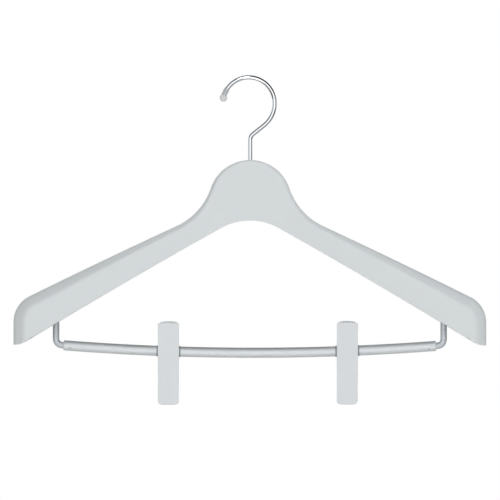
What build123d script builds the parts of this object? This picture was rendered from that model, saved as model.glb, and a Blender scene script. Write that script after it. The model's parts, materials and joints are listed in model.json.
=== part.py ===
"""Suit hanger with a swivel hook, a trouser bar under the arms and two sliding clips.

Millimetres, +Z up, X along the arms, front towards -Y. The origin is the point of the
hook's inner crown that rests on the rail, right above the hook's shank.
"""

import os
from math import asin, atan2, cos, degrees, radians, sin, sqrt, tan

from build123d import *

os.makedirs("parts", exist_ok=True)

# ---- Driving dimensions ----
# Hook wire
wire_d = 4.0
crown_r = 24.1             # centreline radius, tip to the rightmost point
lower_arc_r = 26.5         # centreline radius from there to the straight neck
crown_offset = 1.4         # the crown arc's centre lies this far left of the shank
tip_angle = 162.0          # where the wire ends, degrees round the crown arc
neck_rise = 38.5           # slope of the straight neck, degrees
neck_bend_r = 11.0
shank_end_z = -98.0        # underside of the upset head
upset_lap = 1.7            # the upset head is this much larger all round than the wire
upset_t = 2.2
# Vinyl cap on the hook's tip
cap_wall = 0.65
cap_grip = 6.7             # length of wire inside the cap
cap_bulb_lap = 0.7         # the bulb is this much larger all round than the cap
cap_bulb_lead = 2.0        # from the wire's end to the bulb's centre
# Body
half_width = 220.0
head_top_z = -74.7
head_crown_r = 38.6
head_side_slope = 71.4     # steepest slope of the head, degrees
head_neck_r = 59.6
arm_slope = 24.8           # slope of the arm's top where it leaves the head, degrees
arm_bow_r = 4500.0         # the arm's top is very slightly arched
shoulder_r = 28.0
arch_z = -131.6            # underside at the centre
arch_r = 55.0
under_slope = 29.4         # slope of the underside where the centre arch ends
under_bow_r = 5400.0
under_corner_r = 28.0
end_flat = 3.0             # level stretch at the arm's lower end
head_half_depth = 7.6
shoulder_half_depth = 22.0
flare_x = 30.0             # the body keeps the head's depth to here, then flares
flare_r = 300.0
wall = 2.2
edge_round = 2.6
rib_t = 1.8
rib_count = 4              # between the head and each leg boss
first_rib_x = 48.0
rib_recess = 3.0
# Swivel
bush_lap = 0.9             # the bush's flange is this much larger all round
bush_length = 14.0
bush_flange_t = 1.6
boss_wall = 1.9
washer_lap = 0.5           # the washer is this much smaller all round than the bush's flange
washer_t = 1.0
# Trouser bar
bar_d = 9.5
bar_wall = 1.4
bar_bow_r = 2260.0
bar_low_z = -254.2         # centre of the tube at its lowest point
bar_half_span = 172.3
leg_x = 179.7
leg_bend_r = 6.0
leg_socket_depth = 22.0
leg_boss_wall = 2.6
stub_length = 14.0
pin_d = 1.5
pin_inset = 5.0            # from the tube's end
pin_drop = 1.8             # below the tube's centreline
pin_proud = 0.25
# Clips
left_clip_x = -75.6
right_clip_x = 90.6
clip_width = 19.5
clip_above = 28.0          # above the pivot
clip_below = 49.6          # below the pivot
leaf_t = 1.6
leaf_tilt = 5.0            # each leaf leans in towards the jaws, degrees
leaf_top_round = 2.5
leaf_bottom_round = 3.5
sleeve_wall = 0.6
cheek_t = 1.2
cheek_ring_wall = 1.35
cheek_root = 10.0          # half height of a cheek where it meets its leaf
flange_depth = 2.4
pad_height = 14.0
pad_width = 13.2
pad_rib_pitch = 2.0
pad_rib_depth = 0.5
spring_wire_d = 0.9
spring_turns = 8
spring_leg = 14.0
# Clearances
running = 0.05             # radial, shaft in hole
seat_fit = 0.1             # radial, bar leg in its tube and in its boss
rolling = 0.55             # radial, clip cheek on its sleeve, room for the bar's slope
apart = 0.3                # between pieces that move past each other
side_gap = 0.4             # between the nested cheeks
snug = 0.02                # radial, pressed pieces
past = 5.0                 # how far cutting tools reach past a face

# ---- Derived places ----
crown_top = wire_d / 2
crown_centre_z = crown_top - sqrt(crown_r**2 - crown_offset**2)
arc_end_x = crown_r - crown_offset - lower_arc_r * (1 - sin(radians(neck_rise)))
bend_start_x = neck_bend_r * (1 - sin(radians(neck_rise)))
neck_length = (arc_end_x - bend_start_x) / cos(radians(neck_rise))

upset_d = wire_d + 2 * upset_lap
cap_d = wire_d + 2 * cap_wall
cap_bulb_d = cap_d + 2 * cap_bulb_lap
bush_flange_d = 2 * (head_half_depth - wall - apart)
bush_d = bush_flange_d - 2 * bush_lap
washer_d = bush_flange_d - 2 * washer_lap

bar_centre_z = bar_low_z + bar_bow_r
leg_angle = degrees(asin((leg_x - leg_bend_r) / (bar_bow_r - leg_bend_r)))
bar_end_angle = degrees(asin(bar_half_span / bar_bow_r))
leg_d = bar_d - 2 * bar_wall - 2 * seat_fit

sleeve_d = bar_d + 2 * running + 2 * sleeve_wall
cheek_bore_r = sleeve_d / 2 + rolling
cheek_r = cheek_bore_r + cheek_ring_wall
leaf_in = cheek_r + apart  # from the pivot square to a leaf's inner face
leaf_out = leaf_in + leaf_t
rear_width = clip_width - 2 * (cheek_t + side_gap)
spring_coil_r = leaf_in - apart / 2 - spring_wire_d / 2


def arc_drop(radius, start_slope, end_slope):
    """How far an arc that turns between two slopes falls."""
    return radius * abs(cos(radians(start_slope)) - cos(radians(end_slope)))


def bar_point(angle):
    """A point of the bowed bar's centreline, measured from straight below the bow's centre."""
    return (bar_bow_r * sin(radians(angle)), bar_centre_z - bar_bow_r * cos(radians(angle)))


def under_end_slope(width):
    """Slope of the underside where its end corner starts, for an outline this wide."""
    start = radians(under_slope)
    run = width - end_flat - arch_r * sin(start)
    return degrees(asin((run + under_bow_r * sin(start)) / (under_bow_r + under_corner_r)))


def arm_end_slope(width, start_x, corner_r, bow_r):
    """Slope of the arm's top where the shoulder corner starts."""
    run = width - start_x - corner_r + bow_r * sin(radians(arm_slope))
    return degrees(asin(run / (bow_r - corner_r)))


def underside_z(x):
    """Height of the underside's straight stretch at x."""
    corner_x = arch_r * sin(radians(under_slope))
    corner_z = arch_z - arc_drop(arch_r, 0, under_slope)
    return corner_z - (abs(x) - corner_x) * tan(radians(under_slope + 1.0))


def half_outline(inset=0.0, drop=0.0):
    """The right half of the body's front outline, as a face behind the body.

    inset moves the top and the end inwards by a wall, and drop lowers the underside.
    """
    width = half_width - inset
    neck_x = (head_crown_r - inset) * sin(radians(head_side_slope)) + (head_neck_r + inset) * (
        sin(radians(head_side_slope)) - sin(radians(arm_slope)))
    corner_r = shoulder_r - inset
    bow_r = arm_bow_r - inset
    end_slope = arm_end_slope(width, neck_x, corner_r, bow_r)
    low_slope = under_end_slope(half_width)
    low_z = arch_z - arc_drop(arch_r, 0, under_slope) - arc_drop(under_bow_r, under_slope, low_slope)
    low_z -= arc_drop(under_corner_r, low_slope, 0)
    with BuildSketch(Plane.XZ.offset(-shoulder_half_depth)) as outline:
        with BuildLine():
            crown = JernArc((0, head_top_z - inset), (1, 0), head_crown_r - inset, -head_side_slope)
            neck = JernArc(crown @ 1, crown % 1, head_neck_r + inset, head_side_slope - arm_slope)
            arm = JernArc(neck @ 1, neck % 1, bow_r, arm_slope - end_slope)
            shoulder = JernArc(arm @ 1, arm % 1, corner_r, end_slope - 90)
            arch = JernArc((0, arch_z - drop), (1, 0), arch_r, -under_slope)
            under = JernArc(arch @ 1, arch % 1, under_bow_r, under_slope - low_slope)
            corner = JernArc(under @ 1, under % 1, under_corner_r, low_slope)
            Polyline(shoulder @ 1, (width, low_z - drop), corner @ 1)
            Line(crown @ 0, arch @ 0)
        make_face()
    return outline.sketch


def half_plan(inset=0.0):
    """A quarter of the body seen from above: narrow at the head, deep at the shoulder."""
    width = half_width - inset
    with BuildSketch(Plane.XY) as plan:
        with BuildLine():
            Polyline((0, 0), (width, 0), (width, shoulder_half_depth - inset),
                     (flare_x, head_half_depth - inset), (0, head_half_depth - inset), close=True)
        make_face()
        flare = plan.vertices().sort_by_distance((flare_x, head_half_depth - inset))[0]
        fillet(flare, flare_r)
    return plan.sketch


def round_solid(inset=0.0, drop=0.0):
    """Front outline and plan extruded through each other, mirrored to all four quarters."""
    with BuildPart() as quarter:
        add(half_outline(inset, drop))
        extrude(amount=2 * shoulder_half_depth, dir=(0, -1, 0))
        with BuildSketch(Plane.XY.offset(-2 * half_width)):
            add(half_plan(inset))
            mirror(about=Plane.XZ)
        extrude(amount=2 * half_width, mode=Mode.INTERSECT)
        mirror(about=Plane.YZ)
    return quarter.part


def finish(part, name, colour):
    """Label, colour and write one piece."""
    part.label = name
    part.color = Color(colour)
    export_step(part, f"parts/{name}.step")


# ---- Hook ----
with BuildPart() as hook_wire:
    with BuildLine(Plane.XZ) as hook_path:
        crown = CenterArc((-crown_offset, crown_centre_z), crown_r, tip_angle, -tip_angle)
        lower = JernArc(crown @ 1, crown % 1, lower_arc_r, neck_rise - 90)
        neck = Line(lower @ 1, lower @ 1 + (lower % 1) * neck_length)
        bend = JernArc(neck @ 1, neck % 1, neck_bend_r, 90 - neck_rise)
        shank = Line(bend @ 1, (0, shank_end_z + upset_t / 2))
    with BuildSketch(Plane(origin=hook_path.line @ 0, z_dir=hook_path.line % 0)):
        Circle(wire_d / 2)
    sweep(path=hook_path.line)
    # the lower end is upset into a head, which carries the washer and the body
    with BuildSketch(Plane.XY.offset(shank_end_z)):
        Circle(upset_d / 2)
    extrude(amount=upset_t)
    chamfer(hook_wire.edges().filter_by(GeomType.CIRCLE).group_by(Axis.Z)[0], upset_t / 4)
finish(hook_wire.part, "hook_wire", "silver")

grip_turn = degrees(cap_grip / crown_r)
with BuildPart() as hook_tip_cap:
    with BuildLine(Plane.XZ) as cap_path:
        CenterArc((-crown_offset, crown_centre_z), crown_r, tip_angle - grip_turn,
                  grip_turn + degrees(cap_bulb_lead / crown_r))
    with BuildSketch(Plane(origin=cap_path.line @ 0, z_dir=cap_path.line % 0)):
        Circle(cap_d / 2)
    sweep(path=cap_path.line)
    with Locations(cap_path.line @ 1):
        Sphere(cap_bulb_d / 2)
    with BuildLine(Plane.XZ) as cap_bore_path:
        CenterArc((-crown_offset, crown_centre_z), crown_r, tip_angle - 2 * grip_turn, 2 * grip_turn)
    with BuildSketch(Plane(origin=cap_bore_path.line @ 0, z_dir=cap_bore_path.line % 0)):
        Circle(wire_d / 2 + snug)
    sweep(path=cap_bore_path.line, mode=Mode.SUBTRACT)
finish(hook_tip_cap.part, "hook_tip_cap", "lightblue")

washer_z = shank_end_z + upset_t
with BuildPart() as hook_washer:
    with BuildSketch(Plane.XY.offset(washer_z)):
        Circle(washer_d / 2)
        Circle(wire_d / 2 + running, mode=Mode.SUBTRACT)
    extrude(amount=washer_t)
finish(hook_washer.part, "hook_washer", "goldenrod")

# ---- Swivel bush, pressed into the body from below ----
bush_z = washer_z + washer_t + apart
boss_z = bush_z + bush_flange_t
with BuildPart() as swivel_bush:
    with BuildSketch(Plane.XY.offset(bush_z)):
        Circle(bush_flange_d / 2)
    extrude(amount=bush_flange_t)
    with BuildSketch(Plane.XY.offset(boss_z)):
        Circle(bush_d / 2)
    extrude(amount=bush_length)
    with BuildSketch(Plane.XY.offset(bush_z)):
        Circle(wire_d / 2 + running)
    extrude(amount=bush_flange_t + bush_length, mode=Mode.SUBTRACT)
finish(swivel_bush.part, "swivel_bush", "ivory")

# ---- Body: a moulded shell, open below, with ribs and bosses inside ----
leg_top_z = underside_z(leg_x) + leg_socket_depth
rib_step = (leg_x - first_rib_x) / rib_count
rib_places = [side * (first_rib_x + rib_step * i) for side in (-1, 1) for i in range(rib_count + 1)]

with BuildPart() as body_hollow:
    add(round_solid(wall, past + wall))
    for rib_x in rib_places:
        rib_bottom = underside_z(rib_x) + rib_recess
        with BuildSketch(Plane.XY.offset(rib_bottom)):
            with Locations((rib_x, 0)):
                Rectangle(rib_t, 2 * shoulder_half_depth)
        extrude(amount=half_width, mode=Mode.SUBTRACT)
    with BuildSketch(Plane.XY.offset(boss_z)):
        Circle(bush_d / 2 + boss_wall)
    extrude(amount=half_width, mode=Mode.SUBTRACT)
    with BuildSketch(Plane.XY.offset(underside_z(leg_x))):
        with Locations((-leg_x, 0), (leg_x, 0)):
            Circle(leg_d / 2 + leg_boss_wall)
    extrude(amount=half_width, mode=Mode.SUBTRACT)

with BuildPart() as hanger_body:
    add(round_solid())
    rim = hanger_body.edges().filter_by(lambda e: abs(e.center().Y) > head_half_depth / 2)
    top_rim = rim.filter_by(Axis.Z, reverse=True).filter_by(
        lambda e: e.center().Z > underside_z(e.center().X) + wall)
    end_rim = rim.filter_by(Axis.Z).filter_by(lambda e: abs(e.center().X) > half_width - wall)
    fillet(top_rim + end_rim, edge_round)
    add(body_hollow.part, mode=Mode.SUBTRACT)
    with BuildSketch(Plane.XY.offset(head_top_z + past)):
        Circle(wire_d / 2 + apart)
    extrude(amount=-(head_top_z + past - boss_z), mode=Mode.SUBTRACT)
    with BuildSketch(Plane.XY.offset(boss_z)):
        Circle(bush_d / 2 + snug)
    extrude(amount=bush_length, mode=Mode.SUBTRACT)
    with BuildSketch(Plane.XY.offset(leg_top_z)):
        with Locations((-leg_x, 0), (leg_x, 0)):
            Circle(leg_d / 2 + seat_fit)
    extrude(amount=-2 * leg_socket_depth, mode=Mode.SUBTRACT)
finish(hanger_body.part, "hanger_body", "lightgray")

# ---- Trouser bar: a bowed tube on two bent rods ----
with BuildPart() as trouser_bar_tube:
    with BuildLine(Plane.XZ) as bar_path:
        CenterArc((0, bar_centre_z), bar_bow_r, 270 - bar_end_angle, 2 * bar_end_angle)
    with BuildSketch(Plane(origin=bar_path.line @ 0, z_dir=bar_path.line % 0)):
        Circle(bar_d / 2)
        Circle(bar_d / 2 - bar_wall, mode=Mode.SUBTRACT)
    sweep(path=bar_path.line)
    for side in (-1, 1):
        pin_x, pin_z = bar_point(side * (bar_end_angle - degrees(pin_inset / bar_bow_r)))
        with BuildSketch(Plane.XZ):
            with Locations((pin_x, pin_z - pin_drop)):
                Circle(pin_d / 2 + snug)
        extrude(amount=bar_d, both=True, mode=Mode.SUBTRACT)
finish(trouser_bar_tube.part, "trouser_bar_tube", "gainsboro")

for side, side_name in ((-1, "left"), (1, "right")):
    pin_x, pin_z = bar_point(side * (bar_end_angle - degrees(pin_inset / bar_bow_r)))
    with BuildPart() as bar_leg:
        with BuildLine(Plane.XZ) as leg_path:
            stub_turn = leg_angle - bar_end_angle + degrees(stub_length / bar_bow_r)
            stub = CenterArc((0, bar_centre_z), bar_bow_r,
                             270 + side * (leg_angle - stub_turn), side * stub_turn)
            rise = JernArc(stub @ 1, stub % 1, leg_bend_r, side * (90 - leg_angle))
            Line(rise @ 1, (side * leg_x, leg_top_z - apart))
        with BuildSketch(Plane(origin=leg_path.line @ 0, z_dir=leg_path.line % 0)):
            Circle(leg_d / 2)
        sweep(path=leg_path.line)
        with BuildSketch(Plane.XZ):
            with Locations((pin_x, pin_z - pin_drop)):
                Circle(pin_d / 2 + snug)
        extrude(amount=bar_d, both=True, mode=Mode.SUBTRACT)
    finish(bar_leg.part, f"{side_name}_bar_leg", "darkgray")

    # a drive pin through the tube and the rod's stub, just proud at both ends
    pin_half = sqrt((bar_d / 2)**2 - pin_drop**2) + pin_proud
    with BuildPart() as bar_pin:
        with BuildSketch(Plane.XZ):
            with Locations((pin_x, pin_z - pin_drop)):
                Circle(pin_d / 2)
        extrude(amount=pin_half, both=True)
    finish(bar_pin.part, f"{side_name}_bar_pin", "dimgray")


# ---- Clips ----
def leaf_plane(pivot, side, offset):
    """The plane of a leaf, offset outwards from the pivot; its y axis points up the leaf."""
    normal = Vector(0, side * cos(radians(leaf_tilt)), -sin(radians(leaf_tilt)))
    return Plane(origin=pivot, x_dir=(-side, 0, 0), z_dir=normal).offset(offset)


def make_leaf(pivot, side, width):
    """A leaf with side flanges and two cheeks that ride on the bar's sleeve."""
    lean = radians(leaf_tilt)
    top = (clip_above + leaf_out * sin(lean)) / cos(lean)
    bottom = (clip_below - leaf_in * sin(lean)) / cos(lean)
    cheek_x = width / 2 - cheek_t
    with BuildPart() as clip_leaf:
        with BuildSketch(leaf_plane(pivot, side, leaf_in)) as face:
            with Locations((0, (top - bottom) / 2)):
                Rectangle(width, top + bottom)
            fillet(face.vertices().group_by(Axis.Y)[-1], leaf_top_round)
            fillet(face.vertices().group_by(Axis.Y)[0], leaf_bottom_round)
        extrude(amount=leaf_t)
        with BuildSketch(leaf_plane(pivot, side, leaf_in)):
            flange_top = top - leaf_top_round
            flange_bottom = bottom - leaf_bottom_round - pad_height
            for x in (-1, 1):
                with Locations((x * (width - cheek_t) / 2, (flange_top - flange_bottom) / 2)):
                    Rectangle(cheek_t, flange_top + flange_bottom)
        extrude(amount=-flange_depth)
        for x in (-cheek_x - cheek_t, cheek_x):
            root = Vector(0, side * (leaf_in + leaf_t / 2) / cos(lean), 0)
            up = Vector(0, side * sin(lean), cos(lean)) * cheek_root
            high, low = root + up, root - up
            with BuildSketch(Plane(origin=pivot + Vector(x, 0, 0), x_dir=(0, 1, 0), z_dir=(1, 0, 0))):
                Circle(cheek_r)
                with BuildLine():
                    Polyline((0, cheek_r), (high.Y, high.Z), (low.Y, low.Z), (0, -cheek_r), close=True)
                make_face()
            extrude(amount=cheek_t)
        with BuildSketch(Plane(origin=pivot, x_dir=(0, 1, 0), z_dir=(1, 0, 0))):
            Circle(cheek_bore_r)
        extrude(amount=width / 2, both=True, mode=Mode.SUBTRACT)
    return clip_leaf.part


def make_pad(pivot, side):
    """A soft jaw pad: its back lies on the leaf, its ribbed face stands upright."""
    lean = radians(leaf_tilt)
    face_y = side * apart / 2
    low_z = -clip_below + leaf_t / 2
    high_z = low_z + pad_height
    back = [(side * (leaf_in / cos(lean) + z * tan(lean)), z) for z in (low_z, high_z)]
    with BuildPart() as jaw_pad:
        with BuildSketch(Plane(origin=pivot, x_dir=(0, 1, 0), z_dir=(1, 0, 0))):
            with BuildLine():
                Polyline((face_y, low_z), back[0], back[1], (face_y, high_z), close=True)
            make_face()
            grooves = int(pad_height / pad_rib_pitch)
            for i in range(1, grooves):
                with Locations((face_y, low_z + i * pad_rib_pitch)):
                    Rectangle(2 * pad_rib_depth, pad_rib_pitch / 2, mode=Mode.SUBTRACT)
        extrude(amount=pad_width / 2, both=True)
    return jaw_pad.part


for clip_x, clip_name in ((left_clip_x, "left"), (right_clip_x, "right")):
    clip_angle = degrees(asin(clip_x / bar_bow_r))
    pivot = Vector(clip_x, 0, bar_point(clip_angle)[1])
    along = Vector(cos(radians(clip_angle)), 0, sin(radians(clip_angle)))

    # the friction sleeve follows the bar's bow
    with BuildPart() as friction_sleeve:
        half_turn = degrees(clip_width / 2 / bar_bow_r)
        with BuildLine(Plane.XZ) as sleeve_path:
            CenterArc((0, bar_centre_z), bar_bow_r, 270 + clip_angle - half_turn, 2 * half_turn)
        with BuildSketch(Plane(origin=sleeve_path.line @ 0, z_dir=sleeve_path.line % 0)):
            Circle(sleeve_d / 2)
            Circle(bar_d / 2 + running, mode=Mode.SUBTRACT)
        sweep(path=sleeve_path.line)
    finish(friction_sleeve.part, f"{clip_name}_clip_sleeve", "white")

    # the torsion spring's coil as one ring of wire, with a leg up each leaf
    spring_half = spring_turns * spring_wire_d / 2
    with BuildPart() as torsion_spring:
        with BuildSketch(Plane(origin=pivot, x_dir=(0, 1, 0), z_dir=(1, 0, 0))):
            Circle(spring_coil_r + spring_wire_d / 2)
            Circle(spring_coil_r - spring_wire_d / 2, mode=Mode.SUBTRACT)
        extrude(amount=spring_half, both=True)
        for side in (-1, 1):
            leg_plane = leaf_plane(pivot, side, spring_coil_r)
            leg_start = leg_plane.from_local_coords((-spring_half + spring_wire_d / 2, 0, 0))
            with BuildSketch(Plane(origin=leg_start, z_dir=leg_plane.y_dir)):
                Circle(spring_wire_d / 2)
            extrude(amount=spring_leg)
    finish(torsion_spring.part, f"{clip_name}_clip_spring", "slategray")

    for side, side_name, width in ((-1, "front", clip_width), (1, "rear", rear_width)):
        finish(make_leaf(pivot, side, width), f"{clip_name}_clip_{side_name}_leaf", "lightsteelblue")
        finish(make_pad(pivot, side), f"{clip_name}_clip_{side_name}_pad", "gray")
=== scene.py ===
"""Looks of the suit hanger: surfaces, finishes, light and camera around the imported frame."""

import json
from math import asin, cos, pi, radians, sin, sqrt, tan

import bmesh
import bpy
import numpy as np
from bpy.props import FloatProperty, FloatVectorProperty, IntProperty, PointerProperty
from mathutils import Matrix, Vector


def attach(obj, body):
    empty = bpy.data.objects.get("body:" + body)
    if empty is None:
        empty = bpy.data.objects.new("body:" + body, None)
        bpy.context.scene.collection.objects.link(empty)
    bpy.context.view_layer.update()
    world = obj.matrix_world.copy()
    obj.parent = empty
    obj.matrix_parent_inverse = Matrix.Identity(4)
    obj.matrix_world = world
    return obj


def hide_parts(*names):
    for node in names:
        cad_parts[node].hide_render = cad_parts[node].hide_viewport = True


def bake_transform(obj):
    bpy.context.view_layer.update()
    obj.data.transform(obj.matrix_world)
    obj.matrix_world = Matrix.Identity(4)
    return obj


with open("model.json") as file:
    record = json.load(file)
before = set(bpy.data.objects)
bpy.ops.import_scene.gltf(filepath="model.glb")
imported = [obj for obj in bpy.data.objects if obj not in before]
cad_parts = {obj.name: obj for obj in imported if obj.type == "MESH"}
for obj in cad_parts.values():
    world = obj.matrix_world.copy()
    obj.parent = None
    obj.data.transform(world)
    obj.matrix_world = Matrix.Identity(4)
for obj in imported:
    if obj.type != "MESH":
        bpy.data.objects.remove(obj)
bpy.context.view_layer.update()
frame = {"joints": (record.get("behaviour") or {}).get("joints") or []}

bl_info = {
    "name": "Suit hanger with trouser bar",
    "version": (1, 0, 0),
    "blender": (4, 5, 0),
    "location": "3D View > Sidebar > Hanger",
    "description": "Builds the surfaces and finishes of a clip hanger round its packed frame",
    "category": "Add Mesh",
}

MM = 0.001
PLACES = {joint["name"]: joint["pos_m"] for joint in frame["joints"]}
SIDES = (("left", -1), ("right", 1))
ENDS = (("front", -1), ("rear", 1))
PIVOTS = {name: np.array(PLACES[f"{name}_clip_swing"]) for name, _ in SIDES}
X_AXIS, Y_AXIS, Z_AXIS = np.eye(3)

# Gaps between neighbours: round what is gripped, round the turning hook, under the bush
PRESS_FIT, TURNING_FIT, WASHER_GAP = 0.02 * MM, 0.05 * MM, 0.3 * MM


# ---- Sizes and colours ----
def length(label, millimetres, description):
    """A length property, given in millimetres and held in metres."""
    return FloatProperty(name=label, description=description, default=millimetres * MM,
                         unit="LENGTH", precision=5, min=0.0)


def turn(label, angle, description):
    """An angle property, given in degrees and held in radians."""
    return FloatProperty(name=label, description=description, default=radians(angle),
                         subtype="ANGLE")


def hex_colour(code):
    """Linear RGB of an sRGB hex colour."""
    part = np.array([int(code[i:i + 2], 16) for i in (0, 2, 4)]) / 255
    return tuple(np.where(part <= 0.04045, part / 12.92, ((part + 0.055) / 1.055) ** 2.4))


def tint(label, code, description):
    """A colour property from an sRGB hex code."""
    return FloatVectorProperty(name=label, description=description, default=hex_colour(code),
                               subtype="COLOR", size=3, min=0.0, max=1.0)


class HookSizes(bpy.types.PropertyGroup):
    wire: length("Wire", 3.98, "Diameter of the hook's wire")
    crown: length("Crown radius", 24.1, "Centreline radius from the tip to the rightmost point")
    lower: length("Lower radius", 26.5, "Centreline radius from there to the neck")
    offset: length("Crown offset", 1.4, "How far the crown's centre lies left of the shank")
    tip: turn("Tip", 162.0, "Where the wire ends, round the crown from the right")
    neck: turn("Neck slope", 38.5, "Slope of the straight neck")
    bend: length("Neck bend", 7.0, "Radius of the bend into the shank")
    shank_end: length("Shank end", 98.0, "Depth of the shank's lower end below the rail")
    head_lap: length("Upset lap", 1.7, "How much wider the upset head is all round")
    head_height: length("Upset height", 2.2, "Height of the upset head")
    cap_wall: length("Cap wall", 0.65, "Wall of the vinyl cap")
    cap_grip: length("Cap grip", 6.7, "Length of wire inside the cap")
    bulb_lap: length("Bulb lap", 0.95, "How much wider the cap's bulb is all round")
    bulb_lead: length("Bulb lead", 2.5, "From the wire's end to the bulb's centre")


class BodySizes(bpy.types.PropertyGroup):
    half_width: length("Half width", 219.3, "From the middle to the arm's end")
    head_top: length("Head top", 75.0, "Depth of the head's top below the rail")
    crown: length("Head radius", 38.6, "Radius of the head's round top")
    head_slope: turn("Head slope", 71.4, "Steepest slope of the head's side")
    neck: length("Neck radius", 59.6, "Radius of the hollow between head and arm")
    arm_slope: turn("Arm slope", 24.9, "Slope of the arm's top where it leaves the neck")
    arm_bow: length("Arm bow", 6000.0, "Radius of the arm's slight arch")
    shoulder: length("Shoulder radius", 26.5, "Radius of the shoulder's corner")
    arch_top: length("Arch", 131.1, "Depth of the underside's middle below the rail")
    arch: length("Arch radius", 55.0, "Radius of the underside's middle")
    under_slope: turn("Under slope", 29.15, "Slope of the underside beside the arch")
    under_bow: length("Under bow", 5400.0, "Radius of the underside's slight bow")
    under_corner: length("Lower corner", 16.0, "Radius where the underside turns level")
    end_flat: length("End flat", 2.0, "Level stretch at the arm's end")
    head_depth: length("Head half depth", 7.6, "Half the head's thickness")
    shoulder_depth: length("Shoulder half depth", 22.0, "Half the shoulder's thickness")
    flare_x: length("Flare start", 30.0, "Where the body starts to widen front to back")
    flare_blend: length("Flare blend", 6.0, "Softness of the start of the flare")
    wall: length("Wall", 2.2, "Wall of the moulding")
    edge_head: length("Head edge", 1.6, "Width of the softened edge at the head")
    edge_shoulder: length("Shoulder edge", 15.0, "Width of the softened edge at the shoulder")
    edge_full_x: length("Edge full at", 200.0, "Where the softened edge reaches full width")
    rib: length("Rib", 1.8, "Thickness of the inner ribs")
    rib_first: length("First rib", 48.0, "Place of the rib nearest the head")
    rib_recess: length("Rib recess", 3.0, "How far the ribs stay above the lower edge")
    ribs: IntProperty(name="Rib steps", description="Ribs between head and leg boss", default=4)


class BarSizes(bpy.types.PropertyGroup):
    tube: length("Tube", 9.5, "Diameter of the trouser bar")
    wall: length("Tube wall", 1.4, "Wall of the tube")
    bow: length("Bow radius", 2260.0, "Radius of the bar's downward bow")
    lowest: length("Lowest point", 254.2, "Depth of the tube's centre below the rail")
    half_span: length("Half span", 173.2, "From the middle to the tube's end")
    leg: length("Leg", 6.1, "Diameter of the bent legs")
    leg_x: length("Leg place", 180.3, "From the middle to a leg's centre")
    leg_bend: length("Leg bend", 6.0, "Radius of a leg's bend")
    stub: length("Stub", 14.0, "How far a leg reaches into the tube")
    leg_top: length("Leg top", 206.2, "Depth of a leg's upper end below the rail")
    pin: length("Pin", 1.5, "Diameter of the drive pins")
    pin_inset: length("Pin inset", 6.6, "From the tube's end to a pin")
    pin_drop: length("Pin drop", 1.8, "How far a pin lies below the tube's centre")
    pin_proud: length("Pin proud", 0.25, "How far a pin stands out of the tube")
    boss_wall: length("Boss wall", 2.6, "Wall of the leg bosses inside the body")


class ClipSizes(bpy.types.PropertyGroup):
    width: length("Width", 19.5, "Width of a clip")
    above: length("Above", 26.5, "Height of a front leaf above its pivot")
    above_rear: length("Above, rear", 27.7, "Height of a rear leaf above its pivot")
    below: length("Below", 49.6, "Height of a clip below its pivot")
    leaf: length("Leaf", 1.6, "Thickness of a leaf")
    tilt: turn("Tilt", 5.0, "How far a leaf leans in towards the jaws")
    top_round: length("Top corners", 2.5, "Radius of a leaf's upper corners")
    bottom_round: length("Lower corners", 3.5, "Radius of a leaf's lower corners")
    top_arch: length("Top arch", 0.3, "Rise of a front leaf's arched upper edge")
    top_arch_rear: length("Top arch, rear", 0.9, "Rise of a rear leaf's arched upper edge")
    edge: length("Edge", 0.6, "Width of a leaf's softened edge")
    cheek: length("Cheek", 1.2, "Thickness of the cheeks and flanges")
    ring: length("Ring wall", 1.35, "Wall of a cheek round its bore")
    root: length("Cheek root", 10.0, "Half height of a cheek at its leaf")
    flange: length("Flange", 2.4, "Depth of a leaf's side flanges")
    side_gap: length("Side gap", 0.4, "Gap between the nested cheeks")
    sleeve: length("Sleeve wall", 0.6, "Wall of the friction sleeve")
    running: length("Running gap", 0.05, "Radial gap of a shaft in its hole")
    rolling: length("Rolling gap", 0.55, "Radial gap of a cheek on its sleeve")
    # the necks bare the sleeve's mid grey beside each clip, as painted shade for the contact shadow
    # on the bar
    neck: length("Sleeve neck", 1.4, "How far the sleeve's thin necks stand out of the clip")
    neck_wall: length("Neck wall", 0.3, "Wall of the sleeve's necks")
    apart: length("Apart", 0.3, "Gap between pieces that pass each other")
    pad_height: length("Pad height", 14.0, "Height of a jaw pad")
    pad_width: length("Pad width", 13.2, "Width of a jaw pad")
    pad_pitch: length("Pad pitch", 2.0, "Distance between the pad's ridges")
    pad_ridge: length("Pad ridge", 0.5, "Height of the pad's ridges")
    spring: length("Spring wire", 0.9, "Diameter of the spring's wire")
    spring_leg: length("Spring leg", 14.0, "Length of the spring's legs")
    turns: IntProperty(name="Coils", description="Coils of the torsion spring", default=6)


class SwivelSizes(bpy.types.PropertyGroup):
    washer: length("Washer", 9.2, "Diameter of the washer")
    washer_height: length("Washer height", 1.0, "Thickness of the washer")
    bush: length("Bush", 8.4, "Diameter of the bush")
    bush_height: length("Bush height", 14.0, "Height of the bush above its flange")
    flange: length("Flange", 10.2, "Diameter of the bush's flange")
    flange_height: length("Flange height", 1.6, "Thickness of the bush's flange")
    boss_wall: length("Boss wall", 1.9, "Wall of the boss round the bush")


class Finishes(bpy.types.PropertyGroup):
    body: tint("Body", "D8DDDF", "Grey-white moulded body")
    clip: tint("Clip", "DCE0E3", "Grey-white moulded clip leaves")
    chrome: tint("Chrome", "D9DCE0", "Chrome plate of the hook")
    bar: tint("Bar", "EAEDEF", "Satin plate of the bar")
    leg: tint("Leg", "DBDFE3", "Satin plate of the legs")
    pin: tint("Pin", "C4C7C9", "Dull plate of the pins")
    vinyl: tint("Vinyl", "D6D9DC", "Clear vinyl of the tip cap")
    nylon: tint("Nylon", "E8E5DA", "Natural nylon of the bush")
    # the sleeves' mid grey is painted shade: beside each clip it stands for the contact shadow on
    # the bar
    acetal: tint("Acetal", "9BA1A4", "Mid grey acetal of the clip sleeves")
    zinc: tint("Zinc", "B9BBB6", "Zinc plate of the washer")
    spring: tint("Spring", "85898E", "Drawn spring wire")
    rubber: tint("Rubber", "C3C6C7", "Pale soft rubber of the jaw pads")


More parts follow.
